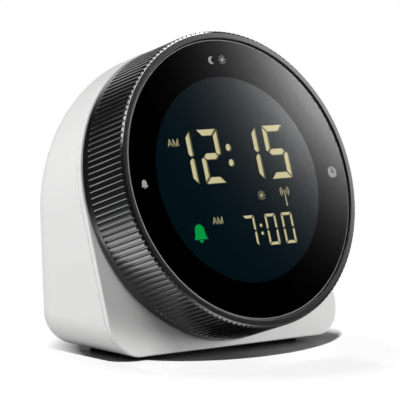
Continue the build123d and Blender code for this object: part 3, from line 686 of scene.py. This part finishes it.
def floor_material():
    """A pale grey that its own strong lamp makes white, and that throws little light on the clock.

    Further out it is plain white for the camera, gloss and clear pieces."""
    material = shader("floor", roughness=0.25, specular_ior_level=0.04)
    principled = material.node_tree.nodes["Principled BSDF"]
    output = material.node_tree.nodes["Material Output"]
    path = add(material, "ShaderNodeLightPath")
    shade = add(material, "ShaderNodeMapRange", to_min=shade_unseen, to_max=shade_seen)
    join(material, path.outputs["Is Camera Ray"], shade.inputs["Value"])
    join(material, shade.outputs["Result"], principled.inputs["Base Color"])
    far = add(material, "ShaderNodeMapRange", from_min=fade_start, from_max=fade_end)
    join(material, distance_from(material, fade_centre), far.inputs["Value"])
    mirrored = larger(material, path.outputs["Is Glossy Ray"], path.outputs["Is Transmission Ray"])
    share = add(material, "ShaderNodeMath", operation="MULTIPLY")
    join(material, larger(material, path.outputs["Is Camera Ray"], mirrored), share.inputs[0])
    join(material, far.outputs["Result"], share.inputs[1])
    glow = add(material, "ShaderNodeEmission")
    mix = add(material, "ShaderNodeMixShader")
    join(material, share.outputs["Value"], mix.inputs["Fac"])
    join(material, principled.outputs["BSDF"], mix.inputs[1])
    join(material, glow.outputs["Emission"], mix.inputs[2])
    join(material, mix.outputs["Shader"], output.inputs["Surface"])
    return material


floor.data.materials.append(floor_material())

# The room: white for the camera, dim for soft light, and for gloss dark with a white backdrop at the back

room_dim = 0.1
room_dark = 0.006
backdrop_side = (0.659, 0.743, -0.118)
backdrop_edge = 0.93
backdrop_full = 0.99


def world_light():
    """The world's light, by the kind of ray that sees it."""
    world = bpy.data.worlds.new("studio")
    bpy.context.scene.world = world
    world.use_nodes = True
    background = world.node_tree.nodes["Background"]
    background.inputs["Color"].default_value = (1, 1, 1, 1)
    path = add(world, "ShaderNodeLightPath")
    place = add(world, "ShaderNodeTexCoord")
    facing = add(world, "ShaderNodeVectorMath", operation="DOT_PRODUCT")
    facing.inputs[1].default_value = backdrop_side
    join(world, place.outputs["Generated"], facing.inputs[0])
    backdrop = add(world, "ShaderNodeMapRange", interpolation_type="SMOOTHSTEP", from_min=backdrop_edge,
                   from_max=backdrop_full, to_min=room_dark, to_max=1.0)
    join(world, facing.outputs["Value"], backdrop.inputs["Value"])
    indirect = add(world, "ShaderNodeMix", a=room_dim)
    mirrored = larger(world, path.outputs["Is Glossy Ray"], path.outputs["Is Transmission Ray"])
    join(world, mirrored, indirect.inputs["Factor"])
    join(world, backdrop.outputs["Result"], indirect.inputs["B"])
    level = add(world, "ShaderNodeMix", b=1.0)
    join(world, path.outputs["Is Camera Ray"], level.inputs["Factor"])
    join(world, indirect.outputs["Result"], level.inputs["A"])
    join(world, level.outputs["Result"], background.inputs["Strength"])


world_light()

# Lamps

middle = (0, 0, 0.04)


def area_light(name, start, target, width, height, radiance, side=(0, 0, 1)):
    """A rectangular lamp of a given brightness, its width along side, aimed at a point."""
    lamp = bpy.data.lights.new(name, "AREA")
    lamp.shape = "RECTANGLE"
    lamp.size = width
    lamp.size_y = height
    lamp.energy = radiance * math.pi * width * height
    item = new_object(name, lamp)
    item.visible_camera = False
    back = (Vector(start) - Vector(target)).normalized()
    across = (Vector(side) - back * back.dot(Vector(side))).normalized()
    item.matrix_world = frame_of_axes(across, back.cross(across), back, start)
    return item


def lights(lamp, piece, state):
    """Makes a lamp light one piece only, or all but one piece."""
    receivers = bpy.data.collections.new(lamp.name + "_receivers")
    receivers.objects.link(piece)
    receivers.collection_objects[0].light_linking.link_state = state
    lamp.light_linking.receiver_collection = receivers


# The panels that light the clock: at the front left, at the left, and low at the right and the back
panels = [
    area_light("key_panel", (-0.3, -0.19, 0.6), middle, 0.25, 0.25, radiance=10.3),
    area_light("left_panel", (-0.6, 0.15, 0.2), middle, 0.3, 0.3, radiance=7.9),
    area_light("right_fill", (0.55, -0.42, 0.12), middle, 0.3, 0.3, radiance=17.8),
    area_light("back_fill", (0.3, 0.65, 0.1), middle, 0.3, 0.3, radiance=10.0)]
for panel in panels:
    lights(panel, floor, "EXCLUDE")
    panel.visible_glossy = False
    panel.visible_transmission = False

# The floor has one lamp far up at the front left, so that the shadow has a clear edge
floor_lamp = area_light("floor_lamp", (-0.6, -1.05, 3.0), middle, 0.12, 0.12, radiance=8600.0)
lights(floor_lamp, floor, "INCLUDE")

# What the bezel's gloss shows: a strip above it and a small panel behind it
strip_place = (0, -0.025, 0.55)
strip_foot = (0, -0.025, 0)
strip_side = (0.862, 0.507, 0)
top_strip = area_light("top_strip", strip_place, strip_foot, 1.0, 0.036, radiance=26.0, side=strip_side)
back_panel = area_light("back_panel", (0.18, 0.55, 0.22), middle, 0.16, 0.12, radiance=1.8, side=(1, 0, 0))
for lamp in (top_strip, back_panel):
    lamp.visible_diffuse = False
    lights(lamp, bezel, "INCLUDE")

# The camera: a long lens from the front left, a little above the clock

azimuth = math.radians(-41.586)
elevation = math.radians(6.766)
roll = math.radians(1.240)
focal_length = 276.5
sensor_width = 36.0
camera_distance = 0.8035
camera_target = Vector((-8.183, -7.184, 39.749)) * MM
camera_back = Vector((
    math.sin(azimuth) * math.cos(elevation), -math.cos(azimuth) * math.cos(elevation), math.sin(elevation)))
camera_place = camera_target + camera_back * camera_distance


def photo_camera():
    """The camera that sees what the photo shows."""
    level = Vector((math.cos(azimuth), math.sin(azimuth), 0))
    above = camera_back.cross(level)
    right = level * math.cos(roll) + above * math.sin(roll)
    up = above * math.cos(roll) - level * math.sin(roll)
    optics = bpy.data.cameras.new("camera")
    optics.sensor_width = sensor_width
    optics.lens = focal_length
    optics.clip_start = 0.01
    optics.clip_end = 20.0
    camera = new_object("camera", optics)
    camera.matrix_world = frame_of_axes(right, up, camera_back, camera_place)
    bpy.context.scene.camera = camera


photo_camera()

# Three glowing sheets that only gloss shows

def glow_material(name, centre, spread, peak, most):
    """A glow that falls off round a centre as a bell curve, and is even above a limit."""
    material = bpy.data.materials.new(name)
    material.use_nodes = True
    material.node_tree.nodes.clear()
    square = add(material, "ShaderNodeMath", operation="POWER")
    join(material, distance_from(material, (*centre, 0)), square.inputs[0])
    square.inputs[1].default_value = 2.0
    power = add(material, "ShaderNodeMath", operation="MULTIPLY_ADD")
    join(material, square.outputs["Value"], power.inputs[0])
    power.inputs[1].default_value = -0.5 / spread ** 2
    power.inputs[2].default_value = math.log(peak)
    fall = add(material, "ShaderNodeMath", operation="EXPONENT")
    join(material, power.outputs["Value"], fall.inputs[0])
    capped = add(material, "ShaderNodeMath", operation="MINIMUM")
    join(material, fall.outputs["Value"], capped.inputs[0])
    capped.inputs[1].default_value = most
    glow = add(material, "ShaderNodeEmission")
    join(material, capped.outputs["Value"], glow.inputs["Strength"])
    output = add(material, "ShaderNodeOutputMaterial")
    join(material, glow.outputs["Emission"], output.inputs["Surface"])
    return material


def glow_sheet(name, place, half, material):
    """A square sheet at a place, with a glowing material."""
    sheet = square_sheet(name, half)
    sheet.matrix_world = place
    sheet.data.materials.append(material)
    sheet.visible_camera = False
    sheet.visible_diffuse = False
    sheet.visible_shadow = False
    return sheet


def soft_panel(reach_out):
    """The sheet that the lens mirrors at its upper right: even at its right, and fading to the left."""
    aim = on_face(30, 25, lens_front)
    sight = (aim - camera_place).normalized()
    back = sight - face_out * 2 * sight.dot(face_out)
    across = Vector((0, 0, 1)).cross(back).normalized()
    place = frame_of_axes(across, back.cross(across), back, aim + back * reach_out)
    material = glow_material("soft_panel", (0.2026, 0.0185), spread=0.0508, peak=26000.0, most=6.5)
    glow_sheet("soft_panel", place, 0.22, material)


soft_panel(0.7)

# Two sheets just over the floor that the bezel mirrors: the left one in its ridges, the front one in its nose
card_height = 0.0005
left_place = Matrix.Translation((-0.137, 0.008, card_height))
left_glow = glow_material("left_card", (0.069, 0.003), spread=0.034, peak=5.0, most=5.0)
front_place = Matrix.Translation((-0.01, -0.064, card_height))
front_glow = glow_material("front_card", (0, 0.024), spread=0.013, peak=4.2, most=4.2)
cards = [
    glow_sheet("left_card", left_place, 0.1, left_glow),
    glow_sheet("front_card", front_place, 0.03, front_glow)]
for card in cards:
    lights(card, bezel, "INCLUDE")

# The black bezel mirrors these sheets in place of the white floor round them
lights(floor, bezel, "EXCLUDE")

bpy.context.scene.view_settings.view_transform = "Standard"
